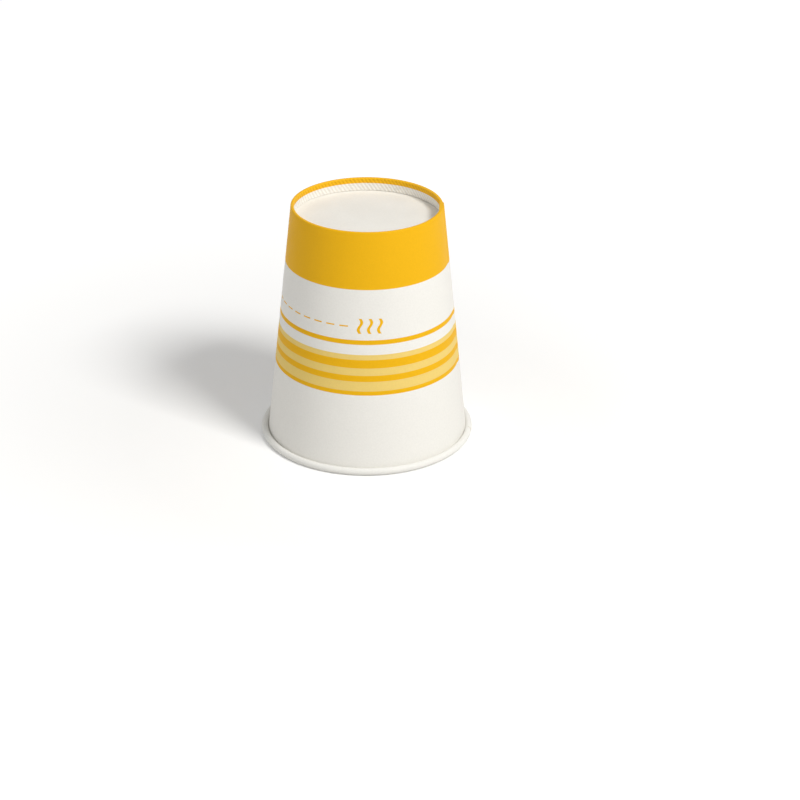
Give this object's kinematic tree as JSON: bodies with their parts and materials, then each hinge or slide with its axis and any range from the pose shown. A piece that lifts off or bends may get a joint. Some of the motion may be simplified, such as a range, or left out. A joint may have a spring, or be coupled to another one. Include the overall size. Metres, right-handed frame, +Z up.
{
  "type": "paper hot cup",
  "caption": "Tapered paper cup for hot drinks with a rolled rim, an overlapped side seam and a recessed base inside a folded foot.",
  "frame": {"origin": "on the floor at the middle of the mouth, with the cup standing mouth down on its rolled rim", "axes": "+Z up the cup's axis from the mouth to the foot; the side seam's cut edge stands 4 degrees round from +X"},
  "size_m": [0.08, 0.08, 0.091],
  "materials": {
    "printed_board": "smooth coated board, white with warm yellow bands and stripes",
    "plain_board": "smooth coated white board"
  },
  "bodies": {
    "root": {"side_wall": "printed_board", "base_disc": "plain_board"}
  },
  "joints": []
}
